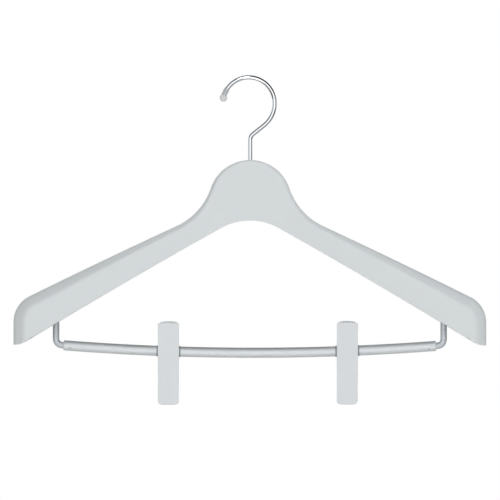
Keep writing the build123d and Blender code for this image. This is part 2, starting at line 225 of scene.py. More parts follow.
class StageSizes(bpy.types.PropertyGroup):
    distance: length("Camera distance", 3500.0, "From the hanger to the camera")
    view_width: length("View width", 465.2, "Width seen at the hanger")
    aim: length("Aim", 158.6, "Depth of the picture's centre below the rail")
    roll: turn("Roll", -0.1, "How far the camera is turned about its view")
    floor_drop: length("Floor drop", 1750.0, "Depth of the floor below the rail")
    floor_half: length("Floor half width", 12000.0, "Half the floor's width")
    floor: tint("Floor", "F4F4F2", "Plain pale floor")


GROUPS = {"hook": HookSizes, "body": BodySizes, "bar": BarSizes, "clip": ClipSizes,
          "swivel": SwivelSizes, "finish": Finishes, "stage": StageSizes}


# ---- Paths and surfaces ----
def trace(start, heading, moves, step=0.5 * MM):
    """A path in the XZ plane: from start along heading, each move is (radius, amount).

    Radius 0 is a straight run of that length; otherwise the path turns by that angle on
    the radius, positive to the left. Returns arc length, points and unit tangents.
    """
    x, z = start
    xs, zs, angles = [], [], []
    for radius, amount in moves:
        if radius == 0:
            t = np.linspace(0, amount, max(2, int(amount / step)), endpoint=False)
            xs.append(x + t * cos(heading))
            zs.append(z + t * sin(heading))
            angles.append(np.full(len(t), heading))
            x, z = x + amount * cos(heading), z + amount * sin(heading)
        else:
            hand = 1 if amount > 0 else -1
            t = np.linspace(0, amount, max(6, int(abs(amount) * radius / step)), endpoint=False)
            cx, cz = x - hand * radius * sin(heading), z + hand * radius * cos(heading)
            xs.append(cx + hand * radius * np.sin(heading + t))
            zs.append(cz - hand * radius * np.cos(heading + t))
            angles.append(heading + t)
            heading += amount
            x, z = cx + hand * radius * sin(heading), cz - hand * radius * cos(heading)
    xs.append([x])
    zs.append([z])
    angles.append([heading])
    xs, zs, angles = map(np.concatenate, (xs, zs, angles))
    points = np.stack([xs, np.zeros_like(xs), zs], 1)
    tangents = np.stack([np.cos(angles), np.zeros_like(xs), np.sin(angles)], 1)
    run = np.concatenate([[0], np.cumsum(np.hypot(np.diff(xs), np.diff(zs)))])
    return run, points, tangents


def trace_to(level, start, heading, moves):
    """A traced path whose end, which is upright, is carried on straight to a level."""
    end = trace(start, heading, moves)[1][-1][2]
    return trace(start, heading, moves + [(0, abs(end - level))])


def straight(start, direction, distance):
    """A straight path from start."""
    direction = np.array(direction, float)
    points = np.array([start, np.array(start) + direction * distance], float)
    return np.array([0, distance]), points, np.array([direction, direction])


def sample(path, s):
    """Points and unit tangents of a path at arc lengths s, carried on straight past its ends."""
    run, points, tangents = path
    inside = np.clip(s, run[0], run[-1])
    place = np.stack([np.interp(inside, run, points[:, k]) for k in range(3)], 1)
    tangent = np.stack([np.interp(inside, run, tangents[:, k]) for k in range(3)], 1)
    tangent /= np.linalg.norm(tangent, axis=1)[:, None]
    return place + tangent * (s - inside)[:, None], tangent


def rounded(points, cuts, steps=6):
    """A polyline whose inner corners are eased: each is a quadratic curve that leaves one run
    and joins the next at the corner's cut length, at most 0.49 of either run."""
    points = np.array(points, float)
    t = np.linspace(0, 1, steps)[:, None]
    out = [points[:1]]
    for before, corner, after, cut in zip(points, points[1:], points[2:], cuts):
        back, on = before - corner, after - corner
        reach = min(cut, 0.49 * np.linalg.norm(back), 0.49 * np.linalg.norm(on))
        a = corner + back / np.linalg.norm(back) * reach
        b = corner + on / np.linalg.norm(on) * reach
        out.append((1 - t) ** 2 * a + 2 * t * (1 - t) * corner + t ** 2 * b)
    out.append(points[-1:])
    return np.concatenate(out)


def arc_length(points):
    """Length along a polyline at each of its points."""
    return np.concatenate([[0], np.cumsum(np.linalg.norm(np.diff(points, axis=0), axis=1))])


def dense(points, step):
    """A polyline with extra points, so that no run is much longer than step."""
    run = arc_length(points)
    regular = np.linspace(0, run[-1], max(2, int(run[-1] / step)))
    s = np.unique(np.round(np.concatenate([run, regular]), 7))
    return np.stack([np.interp(s, run, points[:, k]) for k in range(points.shape[1])], 1)


def quads(rows, columns, ring_rows=False, ring_columns=False):
    """Corner numbers of the quads of a grid, closed on itself either way if asked."""
    i = np.arange(rows if ring_rows else rows - 1)[:, None]
    j = np.arange(columns if ring_columns else columns - 1)[None, :]
    i1, j1 = (i + 1) % rows, (j + 1) % columns
    return np.stack([i * columns + j, i * columns + j1, i1 * columns + j1, i1 * columns + j],
                    -1).reshape(-1, 4)


def swept(path, profile, side=Y_AXIS, sides=48, ring=False):
    """A round section carried along a path: each profile row is (arc length, radius), and a
    point is the path's place plus radius times (cos a N + sin a B), with B the side axis
    squared to the path and N square to both. ring closes the profile on itself."""
    centre, tangent = sample(path, profile[:, 0])
    second = side - tangent * (tangent @ side)[:, None]
    second /= np.linalg.norm(second, axis=1)[:, None]
    first = np.cross(second, tangent)
    a = np.linspace(0, 2 * pi, sides, endpoint=False)
    spoke = np.cos(a)[None, :, None] * first[:, None] + np.sin(a)[None, :, None] * second[:, None]
    points = centre[:, None] + profile[:, 1, None, None] * spoke
    return points.reshape(-1, 3), quads(len(profile), sides, ring, True)


def rod(path, radius, edge, step=1.2 * MM, **how):
    """A solid round rod along a path, with eased ends."""
    end = path[0][-1]
    outline = rounded([(0, 0), (0, radius), (end, radius), (end, 0)], (edge, edge))
    return swept(path, dense(outline, step), **how)


def bored(path, inner, rim, edge, step=1.2 * MM, **how):
    """A round piece with a bore, carried along a path. Its section starts and ends halfway down
    the bore, and rim holds the outer corners as (arc length, radius), all eased alike."""
    end = path[0][-1]
    corners = [(end / 2, inner), (0, inner), *rim, (end, inner), (end / 2, inner)]
    outline = dense(rounded(corners, (edge,) * (len(corners) - 2)), step)[:-1]
    return swept(path, outline, ring=True, **how)


def pipe(path, outer, inner, edge, **how):
    """A hollow round tube along a path, with eased rims."""
    return bored(path, inner, [(0, outer), (path[0][-1], outer)], edge, **how)


def slab(loop, thickness, edge, place):
    """A flat plate from a closed outline seen from its middle: rings of the outline shrink to
    the middle on both faces and step round the eased edge. place maps (x, v, w) to the frame."""
    middle = loop.mean(0)
    reach = np.linalg.norm(loop - middle, axis=1).mean()
    section = rounded([(reach, 0), (0, 0), (0, thickness), (reach, thickness)], (edge, edge), 5)
    rings = np.linspace(0, 0.9, 6)
    shrink = 1 - section[:, 0] / reach
    shrink = np.concatenate([rings, np.clip(shrink[1:-1], 0, 1), rings[::-1]])
    lift = np.concatenate([np.zeros_like(rings), section[1:-1, 1],
                           np.full_like(rings, thickness)])
    flat = middle + (loop - middle)[None] * shrink[:, None, None]
    points = np.concatenate([flat, np.broadcast_to(lift[:, None, None], flat.shape[:2] + (1,))], 2)
    return place(points.reshape(-1, 3)), quads(len(shrink), len(loop), False, True)


def ring_slab(outer, inner, thickness, edge, place):
    """A flat plate with a hole: a section with eased edges runs round between two outlines
    that share their number of points."""
    width = np.linalg.norm(outer - inner, axis=1).mean()
    corners = [(0.5, 0), (1, 0), (1, thickness), (0, thickness), (0, 0), (0.5, 0)]
    scale = np.array([width, 1])
    section = rounded(np.array(corners) * scale, (edge,) * 4, 4)[:-1] / scale
    flat = inner + (outer - inner)[None] * section[:, 0, None, None]
    lift = np.broadcast_to(section[:, 1, None, None], flat.shape[:2] + (1,))
    points = np.concatenate([flat, lift], 2)
    return place(points.reshape(-1, 3)), quads(len(section), len(outer), True, True)


def make_piece(name, shells, body, node, material, sharp=40):
    """One object from its shells: joins them, closes seams and poles, turns faces outwards,
    rides on its body and stands for its node."""
    mesh = bpy.data.meshes.new(name)
    offsets = np.cumsum([0] + [len(points) for points, _ in shells])
    points = np.concatenate([points for points, _ in shells])
    faces = [tuple(face) for (_, grid), start in zip(shells, offsets)
             for face in (grid + start).tolist()]
    mesh.from_pydata(points.tolist(), [], faces)
    work = bmesh.new()
    work.from_mesh(mesh)
    bmesh.ops.remove_doubles(work, verts=work.verts, dist=1e-6)
    bmesh.ops.dissolve_degenerate(work, edges=work.edges, dist=1e-7)
    bmesh.ops.recalc_face_normals(work, faces=work.faces)
    work.to_mesh(mesh)
    work.free()
    mesh.shade_smooth()
    mesh.set_sharp_from_angle(angle=radians(sharp))
    mesh.materials.append(material)
    piece = bpy.data.objects.new(name, mesh)
    bpy.context.scene.collection.objects.link(piece)
    if body is not None:
        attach(piece, body)
    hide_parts(node)
    return piece


# ---- Finishes ----
def node(tree, kind, settings=None, **inputs):
    """Add one node, with its settings, and its inputs as values or as links from sockets."""
    new = tree.nodes.new(kind)
    for key, value in (settings or {}).items():
        setattr(new, key, value)
    for key, value in inputs.items():
        socket = new.inputs[int(key[1:]) if key[1:].isdigit() else key.replace("_", " ")]
        if isinstance(value, bpy.types.NodeSocket):
            tree.links.new(value, socket)
        else:
            socket.default_value = value
    return new


def finish_material(name, colour, roughness, spread, size, relief, stretch=(1, 1, 1), **surface):
    """A finish drawn in noise on Object coordinates. The grain is about size metres across: it
    spreads the roughness round its value and lifts a fine relief. Clouds 40 times as large
    make the colour a touch uneven. Stretch below 1 draws both out along that axis."""
    material = bpy.data.materials.new(name)
    material.use_nodes = True
    tree = material.node_tree
    shader = tree.nodes["Principled BSDF"]
    for key, value in surface.items():
        shader.inputs[key.replace("_", " ")].default_value = value
    where = node(tree, "ShaderNodeTexCoord")
    drawn = node(tree, "ShaderNodeMapping", Vector=where.outputs["Object"], Scale=stretch)
    cloud, fine = (node(tree, "ShaderNodeTexNoise", Vector=drawn.outputs[0], Scale=1 / across,
                        Detail=3.0) for across in (40 * size, size))
    shade = tuple(0.975 * c for c in colour)
    mixed = node(tree, "ShaderNodeMix", {"data_type": "RGBA"}, _0=cloud.outputs[0],
                 _6=(*shade, 1), _7=(*colour, 1))
    tree.links.new(mixed.outputs[2], shader.inputs["Base Color"])
    rough = node(tree, "ShaderNodeMapRange", Value=fine.outputs[0], To_Min=roughness - spread,
                 To_Max=roughness + spread)
    tree.links.new(rough.outputs[0], shader.inputs["Roughness"])
    bump = node(tree, "ShaderNodeBump", Height=fine.outputs[0], Distance=relief, Strength=1.0)
    tree.links.new(bump.outputs[0], shader.inputs["Normal"])
    return material


def moulded_styrene(name, colour):
    """Polystyrene from a spark-eroded mould: satin, with a fine even grain that softens highlights.
    The real grain is about 0.1 mm; it is drawn at 0.5 mm so that it shows."""
    return finish_material(name, colour, 0.46, 0.05, 0.5 * MM, 0.012 * MM, IOR=1.53)


def chrome_plate(colour):
    """Bright chrome over drawn wire: mirror-like, with faint lengthwise drawing marks."""
    return finish_material("chrome_plated_wire", colour, 0.07, 0.02, 1.5 * MM, 0.002 * MM,
                           Metallic=1.0)


def satin_nickel(name, colour, stretch):
    """Nickel over brushed steel: soft, wide highlights drawn out along the brushing, whose
    scratches of about 0.05 mm are drawn at 0.4 mm so that they show."""
    return finish_material(name, colour, 0.70, 0.06, 0.4 * MM, 0.006 * MM, stretch, Metallic=1.0)


def clear_vinyl(colour):
    """Dip-moulded PVC: clear and glossy, slightly hazy, with soft ripples from dipping."""
    return finish_material("clear_vinyl", colour, 0.12, 0.03, 1.2 * MM, 0.004 * MM, IOR=1.53,
                           Alpha=0.55)


def natural_nylon(colour):
    """Machined nylon: waxy off-white, softly shining, faint turning marks."""
    return finish_material("natural_nylon", colour, 0.38, 0.05, 0.4 * MM, 0.01 * MM, IOR=1.53,
                           Subsurface_Weight=0.1)


def shadow_grey_acetal(colour):
    """Machined acetal: dense, with a low waxy shine and faint turning marks. Its mid grey is
    painted shade: darker than the clips, it stands for the contact shadow on the bar beside each
    clip.
    """
    return finish_material("shadow_grey_acetal", colour, 0.42, 0.05, 0.4 * MM, 0.01 * MM, (0.2, 1, 1),
                           IOR=1.48)


def zinc_plate(colour):
    """Bright zinc on a stamped washer: greyish metal with a cloudy, slightly rough skin."""
    return finish_material("zinc_plate", colour, 0.42, 0.08, 0.6 * MM, 0.01 * MM, Metallic=1.0)


def spring_wire(colour):
    """Drawn spring steel: darker grey metal, semi-bright with lengthwise die marks."""
    return finish_material("drawn_spring_wire", colour, 0.34, 0.06, 0.4 * MM, 0.006 * MM,
                           Metallic=1.0)


def soft_rubber(colour):
    """Moulded thermoplastic rubber: dull, even and slightly dusty, with a fine matt skin."""
    return finish_material("soft_pale_rubber", colour, 0.78, 0.06, 0.5 * MM, 0.02 * MM, IOR=1.5,
                           Sheen_Weight=0.15)


# ---- Shapes of this hanger ----
def crown_point(size, angle):
    """Place on the crown's centreline, a circle, at an angle round from the right."""
    centre_z = size.wire / 2 - sqrt(size.crown ** 2 - size.offset ** 2)
    return -size.offset + size.crown * cos(angle), centre_z + size.crown * sin(angle)


def hook_path(size):
    """The wire's centreline: crown arc, wider lower arc, straight neck, bend and shank."""
    rise = size.neck
    arc_end = size.crown - size.offset - size.lower * (1 - sin(rise))
    bend_start = size.bend * (1 - sin(rise))
    neck = (arc_end - bend_start) / cos(rise)
    moves = [(size.crown, -size.tip), (size.lower, rise - pi / 2), (0, neck),
             (size.bend, pi / 2 - rise)]
    return trace_to(-size.shank_end, crown_point(size, size.tip), size.tip - pi / 2, moves)


def bar_point(size, x):
    """Height of the tube's centre at x, on a circle of the bow's radius about a point above."""
    return size.bow - size.lowest - sqrt(size.bow ** 2 - x ** 2)


def bar_path(size, low_x, high_x):
    """The stretch of the tube's bowed centreline between two places."""
    low, high = asin(low_x / size.bow), asin(high_x / size.bow)
    return trace((low_x, bar_point(size, low_x)), low, [(size.bow, high - low)], 2 * MM)


def top_outline(size):
    """Right half of the body's upper outline, from the head's top to the arm's lower corner."""
    neck_x = (size.crown * sin(size.head_slope)
              + size.neck * (sin(size.head_slope) - sin(size.arm_slope)))
    run = size.half_width - neck_x - size.shoulder + size.arm_bow * sin(size.arm_slope)
    end_slope = asin(run / (size.arm_bow - size.shoulder))
    moves = [(size.crown, -size.head_slope), (size.neck, size.head_slope - size.arm_slope),
             (size.arm_bow, size.arm_slope - end_slope), (size.shoulder, end_slope - pi / 2)]
    return trace_to(under_outline(size)[1][-1][2], (0, -size.head_top), 0, moves)


def under_outline(size):
    """Right half of the underside: centre arch, slightly bowed run, corner and level end."""
    run = size.half_width - size.end_flat - size.arch * sin(size.under_slope)
    low = asin((run + size.under_bow * sin(size.under_slope))
               / (size.under_bow + size.under_corner))
    moves = [(size.arch, -size.under_slope), (size.under_bow, size.under_slope - low),
             (size.under_corner, low), (0, size.end_flat)]
    return trace((0, -size.arch_top), 0, moves)


def half_depth(size, x):
    """Half the body's thickness at x: level at the head, then a straight flare. It is eased in
    by a hyperbola, half of the way past the flare's start plus the root of that way squared
    plus the blend squared."""
    slope = (size.shoulder_depth - size.head_depth) / (size.half_width - size.flare_x)
    past = np.abs(x) - size.flare_x
    return size.head_depth + slope * (past + np.sqrt(past ** 2 + size.flare_blend ** 2)) / 2


def edge_width(size, x):
    """Width of the softened edge at x: grows evenly from the head until it is full."""
    return size.edge_head + (size.edge_shoulder - size.edge_head) * np.minimum(
        np.abs(x) / size.edge_full_x, 1)


def shell_sheet(size, inset, stations=261, face_rows=9):
    """One skin of the body, inset from the outer one, as a grid.

    Down a station the grid runs from the underside's front edge up the flat front, round the
    softened edge, over the top and down the back. Along the stations it follows the upper
    outline from the left end to the right, with the underside matched by share of length.
    """
    run, top, heading = top_outline(size)
    share = np.linspace(0, 1, stations)
    place, tangent = sample((run, top, heading), share * run[-1])
    width = edge_width(size, place[:, 0])
    inward = np.stack([tangent[:, 2], -tangent[:, 0]], 1)
    outline = place[:, [0, 2]] + inward * inset
    soft = np.maximum(width - inset, 0.4 * MM)

    under_run, under, _ = under_outline(size)
    end_run = np.interp(size.half_width - width[-1], under[:, 0], under_run)
    lower = sample((under_run, under, under), share * end_run)[0][:, [0, 2]]

    # the edge's section in shares of its width: in from the outline, and back from the face
    edge = rounded([(1.15, 0), (0.66, 0), (0.14, 0.48), (0, 0.74), (0, 0.9)],
                   (0.45, 0.12, 0.12), 9)
    brow = outline + inward * (edge[0, 0] * soft[:, None])
    rise = np.linspace(0, 1, face_rows)[:-1, None, None]
    face = lower[None] * (1 - rise) + brow[None] * rise
    band = outline[None] + inward[None] * (edge[:, 0, None, None] * soft[None, :, None])
    sunk = np.concatenate([np.zeros((face_rows - 1, stations)), edge[:, 1, None] * soft[None]])
    front = np.concatenate([face, band])

    # the arm's end follows the underside's corner
    x, z = front[..., 0], front[..., 1]
    low = top[-1][2]
    start = low + (run[-1] - np.interp(size.half_width - 1e-6, top[:, 0], run))
    sink = np.clip((start - place[:, 2]) / (start - low), 0, 1)[None]
    lift = sink * (np.interp(x, under[:, 0], under[:, 2]) - low)
    front = np.stack([x, z + np.where(sink > 0, lift, 0)], -1)
    front[:face_rows - 1] = (lower[None] * (1 - rise) + front[face_rows - 1][None] * rise)

    depth = half_depth(size, front[..., 0]) - inset - sunk
    half = np.stack([front[..., 0], -depth, front[..., 1]], -1)
    whole = np.concatenate([half, (half * [1, -1, 1])[::-1]])
    mirrored = (whole * [-1, 1, 1])[:, :0:-1]
    return np.concatenate([mirrored, whole], 1).transpose(1, 0, 2)


def rim_strip(outer, inner):
    """The moulding's rim: quads between the borders of the outer and the inner skin."""
    def border(grid):
        """The grid's outermost points, once round."""
        return np.concatenate([grid[:-1, 0], grid[-1, :-1], grid[:0:-1, -1], grid[0, :0:-1]])

    a, b = border(outer), border(inner)
    return np.concatenate([a, b]), quads(2, len(a), False, True)


def body_shells(size, bar, swivel, hook):
    """Skins, rim, ribs and bosses of the moulded body."""
    skins = [shell_sheet(size, inset) for inset in (0.0, size.wall)]
    shells = [(grid.reshape(-1, 3), quads(*grid.shape[:2])) for grid in skins]
    shells.append(rim_strip(*skins))

    top_x, top_z = top_outline(size)[1][:, [0, 2]].T
    under_x, under_z = under_outline(size)[1][:, [0, 2]].T
    cover = 0.6 * size.wall  # skin left over the ends of ribs and bosses

    def ceiling(x):
        """Where ribs and bosses end above, inside the wall."""
        return np.interp(abs(x), top_x, top_z) - cover

    step = (bar.leg_x - size.rib_first) / size.ribs
    for x in [side * (size.rib_first + step * i) for side in (-1, 1) for i in range(size.ribs + 1)]:
        high, low = ceiling(x), np.interp(abs(x), under_x, under_z) + size.rib_recess
        deep, corner = half_depth(size, x) - cover, edge_width(size, x)
        corners = [(0, low), (deep, low), (deep, high - corner), (deep - corner, high), (0, high)]
        half = dense(np.array(corners), 2 * MM)
        loop = np.concatenate([half[:-1], (half * [-1, 1])[:0:-1]])
        shells.append(slab(loop, size.rib, 0.1 * MM, lambda p, x=x: np.stack(
            [x - size.rib / 2 + p[:, 2], p[:, 0], p[:, 1]], 1)))

    low = (-hook.shank_end + hook.head_height + swivel.washer_height + WASHER_GAP
           + swivel.flange_height)
    boss = straight((0, 0, low), Z_AXIS, ceiling(0) - low)
    shells.append(pipe(boss, swivel.bush / 2 + swivel.boss_wall, swivel.bush / 2 + PRESS_FIT,
                       0.3 * MM))
    # a collar round the hook, nearly all of it sunk into the head's top
    collar = straight((0, 0, -size.head_top - 0.3 * MM), Z_AXIS, 0.35 * MM)
    shells.append(pipe(collar, hook.wire / 2 + 1.3 * MM, hook.wire / 2 + 0.12 * MM, 0.1 * MM))
    for _, side in SIDES:
        reach = bar.leg / 2 + bar.boss_wall
        low = np.interp(bar.leg_x - reach, under_x, under_z) + 0.5 * MM
        socket = straight((side * bar.leg_x, 0, low), Z_AXIS, ceiling(bar.leg_x + reach) - low)
        shells.append(pipe(socket, reach, bar.leg / 2 + 0.1 * MM, 0.4 * MM))
    return shells


def cheek_bore(size, bar):
    """Radius of the hole in a cheek, which turns on the sleeve round the bar."""
    return bar.tube / 2 + size.running + size.sleeve + size.rolling


def leaf_place(pivot, side, tilt):
    """Maps a leaf's own (across, up, out) to the frame: the leaf leans in towards the jaws."""
    up = np.array([0, side * sin(tilt), cos(tilt)])
    out = np.array([0, side * cos(tilt), -sin(tilt)])
    return lambda p: pivot + p[:, :1] * X_AXIS + p[:, 1:2] * up + p[:, 2:3] * out


def leaf_loop(size, width, top, bottom, rise):
    """A leaf's outline: an oblong with round lower corners and an upper edge that is an arc."""
    half = width / 2
    arch = (half ** 2 + rise ** 2) / (2 * rise)
    x = np.linspace(-half, half, 9)
    crest = np.stack([x, top + np.sqrt(arch ** 2 - x ** 2) - arch], 1)
    shape = np.concatenate([[(0, -bottom), (-half, -bottom)], crest,
                            [(half, -bottom), (0, -bottom)]])
    cuts = [size.bottom_round * 1.3, size.top_round * 1.3] + [0.2 * MM] * 7
    cuts += [size.top_round * 1.3, size.bottom_round * 1.3]
    return dense(rounded(shape, cuts, 8), 1.0 * MM)[:-1]


def leaf_shells(size, bar, pivot, side, width):
    """A clip leaf: plate, side flanges and two cheeks that ring the sleeve. Flanges and cheeks
    are drawn as (out from the pivot, up) in the leaf's own directions."""
    tilt = size.tilt
    bore = cheek_bore(size, bar)
    ring = bore + size.ring
    inside = ring + size.apart
    outside = inside + size.leaf
    above, rise = ((size.above, size.top_arch) if side < 0 else
                   (size.above_rear, size.top_arch_rear))
    top = (above + outside * sin(tilt)) / cos(tilt)
    bottom = (size.below - inside * sin(tilt)) / cos(tilt)
    place = leaf_place(pivot, side, tilt)
    shells = [slab(leaf_loop(size, width, top, bottom, rise), size.leaf, size.edge,
                   lambda p: place(p + [0, 0, inside]))]

    # flanges, with the ends away from the pivot cut at a slant
    low = -(bottom - size.bottom_round - size.pad_height)
    high = top - size.top_round - rise
    deep, shallow, near = inside - size.flange, inside + 0.4 * MM, size.root - 1 * MM
    flanges = ([(shallow, low), (shallow, -near), (deep, -near), (deep, low + size.flange)],
               [(shallow, near), (shallow, high), (deep, high - size.flange), (deep, near)])

    # cheek: from the bore out to the ring or to its root on the leaf, whichever is further; the
    # flank is the line from the ring's top to the root's end
    a = np.linspace(0, 2 * pi, 120, endpoint=False)
    spoke = np.stack([np.cos(a), np.sin(a)], 1)
    root_out = inside + size.leaf / 2
    rim_point = np.array([0, ring])
    flank = np.array([root_out, size.root]) - rim_point
    normal = np.array([-flank[1], flank[0]]) / np.hypot(*flank)
    normal = normal if normal[1] > 0 else -normal
    facing = spoke[:, 0] * normal[0] + np.abs(spoke[:, 1]) * normal[1]
    to_flank = (rim_point @ normal) / np.maximum(facing, 1e-3)
    to_leaf = root_out / np.maximum(spoke[:, 0], 1e-3)
    reach = np.where(spoke[:, 0] > 0, np.maximum(np.minimum(to_flank, to_leaf), ring), ring)

    for hand in (-1, 1):
        def upright(p, x=hand * (width - size.cheek) / 2 - size.cheek / 2):
            """Stands a plate on edge at the clip's side."""
            return place(np.stack([x + p[:, 2], p[:, 1], p[:, 0]], 1))

        for corners in flanges:
            loop = dense(np.array(corners + corners[:1]), 1.5 * MM)[:-1]
            shells.append(slab(loop, size.cheek, 0.2 * MM, upright))
        shells.append(ring_slab(spoke * reach[:, None], spoke * bore, size.cheek, 0.25 * MM,
                                upright))
    return shells


def pad_shell(size, bar, pivot, side):
    """A jaw pad: sections stacked upwards, each an oblong whose sides are the cosine and sine of
    an angle to the power 0.25 with their signs kept. The back follows the leaning leaf, and
    the face is upright with ridges that rise and fall as a raised cosine."""
    inside = cheek_bore(size, bar) + size.ring + size.apart
    low = -size.below + size.leaf / 2
    up = np.linspace(0, 1, 85)
    z = low + up * size.pad_height
    back = inside / cos(size.tilt) + z * tan(size.tilt)
    wave = (1 - np.cos(2 * pi * (z - low) / size.pad_pitch)) / 2
    face = size.apart / 2 + size.pad_ridge * (1 - wave)
    a = np.linspace(0, 2 * pi, 48, endpoint=False)
    across = np.sign(np.cos(a)) * np.abs(np.cos(a)) ** 0.25
    along = np.sign(np.sin(a)) * np.abs(np.sin(a)) ** 0.25
    close = np.concatenate([[0.0, 0.85], np.ones(len(z)), [0.85, 0.0]])
    pick = np.concatenate([[0, 0], np.arange(len(z)), [-1, -1]])
    middle, thick = (back + face)[pick] / 2, (back - face)[pick] / 2
    x = close[:, None] * across[None] * size.pad_width / 2
    y = middle[:, None] + close[:, None] * along[None] * thick[:, None]
    points = np.stack([x, side * y, np.broadcast_to(z[pick][:, None], x.shape)], -1)
    return pivot + points.reshape(-1, 3), quads(len(pick), len(a), False, True)


def spring_path(size, bar, pivot):
    """A torsion spring's wire: down one leg along the front leaf, round the coils about the
    pivot while stepping across, and up the other leg along the rear leaf."""
    inside = cheek_bore(size, bar) + size.ring + size.apart
    coil = inside - size.apart / 2 - size.spring / 2
    tilt = size.tilt
    pitch = size.spring * 1.12  # the coils lie a little apart
    sweep = 2 * pi * size.turns + pi - 2 * tilt
    # the angle runs from straight forward over the bottom to straight back, square to the leaves
    a = np.linspace(-tilt, -tilt + sweep, 40 * size.turns)
    share = np.linspace(0, 1, len(a))
    across = (share - 0.5) * pitch * (size.turns + 0.5)
    coils = np.stack([across, -coil * np.cos(a), -coil * np.sin(a)], 1)
    front_up = np.array([0, -sin(tilt), cos(tilt)])
    rear_up = np.array([0, sin(tilt), cos(tilt)])
    t = np.linspace(1, 0, 14, endpoint=False)[:, None] * size.spring_leg
    points = pivot + np.concatenate([coils[0] + t * front_up, coils,
                                     coils[-1] + t[::-1] * rear_up])
    run = arc_length(points)
    tangent = np.gradient(points, run, axis=0)
    tangent /= np.linalg.norm(tangent, axis=1)[:, None]
    return run, points, tangent


# ---- Stage ----
FLOOR_GLOW = 0.8
# Name, place, width, power in watts, and whether metal mirrors it: the upper and back lights
# would wash out the chrome's dark outline
SOFTBOXES = (("front_softbox", (0.2, -3.2, 0.2), 3.0, 26.5, True),
             ("brow_softbox", (-0.3, -2.5, 1.6), 0.7, 11, True),
             ("lower_softbox", (-0.3, -2.4, -1.6), 1.3, 16, True),
             ("upper_softbox", (2.3, -1.0, 2.1), 1.6, 34, False),
             ("back_softbox", (-0.8, 3.0, 1.6), 2.4, 48, False))
# The room's light is a sum: each row is an axis of the direction looked in, the stretch of it
# over which the level changes, and the level at either end
ROOM = ((1, -0.95, -0.30, 0.24, 0.0),  # front
        (1, 0.2, 0.9, 0.0, 0.16),      # back
        (0, -0.9, 0.9, 0.84, 0.50),    # left to right
        (2, 0.1, 0.6, 0.0, -0.54),     # roof
        (2, -0.8, 0.0, -0.20, 0.0))    # ground


class HANGER_OT_stage(bpy.types.Operator):
    """Set the floor, soft studio light and camera"""
    bl_idname = "hanger.stage"
    bl_label = "Stage"

    def execute(self, context):
        scene, size = context.scene, context.scene.hanger_stage
        scene.view_settings.view_transform = "Standard"
        scene.view_settings.look = "None"
        self.floor(scene, size)
        self.world(scene)
        for softbox in SOFTBOXES:
            self.softbox(scene, size, *softbox)
        self.camera(scene, size)
        return {"FINISHED"}

    def floor(self, scene, size):
        """A plain floor. It glows to the camera only, which keeps it pale without lighting the
        hanger, and it is clear from below, so that it never hides the hanger."""
        half, drop = size.floor_half, -size.floor_drop
        mesh = bpy.data.meshes.new("studio_floor")
        corners = [(-half, -half, drop), (half, -half, drop), (half, half, drop),
                   (-half, half, drop)]
        mesh.from_pydata(corners, [], [(0, 1, 2, 3)])
        paint = finish_material("painted_floor", size.floor, 0.8, 0.05, 4 * MM, 0.05 * MM,
                                Emission_Color=(*size.floor, 1))
        tree = paint.node_tree
        painted = tree.nodes["Principled BSDF"]
        seen = node(tree, "ShaderNodeLightPath")
        glow = node(tree, "ShaderNodeMath", {"operation": "MULTIPLY"},
                    _0=seen.outputs["Is Camera Ray"], _1=FLOOR_GLOW)
        tree.links.new(glow.outputs[0], painted.inputs["Emission Strength"])
        side = node(tree, "ShaderNodeNewGeometry")
        clear = node(tree, "ShaderNodeBsdfTransparent")
        both = node(tree, "ShaderNodeMixShader", _0=side.outputs["Backfacing"],
                    _1=painted.outputs[0], _2=clear.outputs[0])
        tree.links.new(both.outputs[0], tree.nodes["Material Output"].inputs["Surface"])
        mesh.materials.append(paint)
        floor = bpy.data.objects.new("studio_floor", mesh)
        scene.collection.objects.link(floor)

    def world(self, scene):
        """White to the camera. To light and reflections it is a tent: a bright front, a softer
        back, a right side darker than the left, a dark roof and a slightly dimmer ground."""
        world = bpy.data.worlds.new("studio")
        scene.world = world
        world.use_nodes = True
        tree = world.node_tree
        tree.nodes.clear()
        where = node(tree, "ShaderNodeTexCoord")
        part = node(tree, "ShaderNodeSeparateXYZ", Vector=where.outputs["Generated"])
        level = 0.0
        for axis, low, high, start, end in ROOM:
            share = node(tree, "ShaderNodeMapRange", {"interpolation_type": "SMOOTHSTEP"},
                         Value=part.outputs[axis], From_Min=low, From_Max=high, To_Min=start,
                         To_Max=end)
            level = node(tree, "ShaderNodeMath", {"operation": "ADD"}, _0=level,
                         _1=share.outputs[0]).outputs[0]
        seen = node(tree, "ShaderNodeLightPath")
        room = node(tree, "ShaderNodeBackground", Strength=level)
        white = node(tree, "ShaderNodeBackground", Color=(1, 1, 1, 1), Strength=1.0)
        mix = node(tree, "ShaderNodeMixShader", _0=seen.outputs["Is Camera Ray"],
                   _1=room.outputs[0], _2=white.outputs[0])
        node(tree, "ShaderNodeOutputWorld", Surface=mix.outputs[0])

    def softbox(self, scene, size, name, place, width, power, mirrored):
        """A large square light that faces the hanger and isn't seen itself."""
        light = bpy.data.lights.new(name, "AREA")
        light.size = width
        light.energy = power
        box = bpy.data.objects.new(name, light)
        scene.collection.objects.link(box)
        box.location = place
        aim = Vector((0, 0, -size.aim)) - Vector(place)
        box.rotation_euler = aim.to_track_quat("-Z", "Y").to_euler()
        box.visible_camera = False
        box.visible_glossy = mirrored

    def camera(self, scene, size):
        """Square on, level with the middle of the hanger, which it takes in at view_width."""
        lens = bpy.data.cameras.new("camera")
        lens.sensor_width = 36.0
        lens.lens = lens.sensor_width * size.distance / size.view_width
        camera = bpy.data.objects.new("camera", lens)
        camera.location = (0, -size.distance, -size.aim)
        camera.rotation_euler = (pi / 2, size.roll, 0)
        scene.collection.objects.link(camera)
        scene.camera = camera


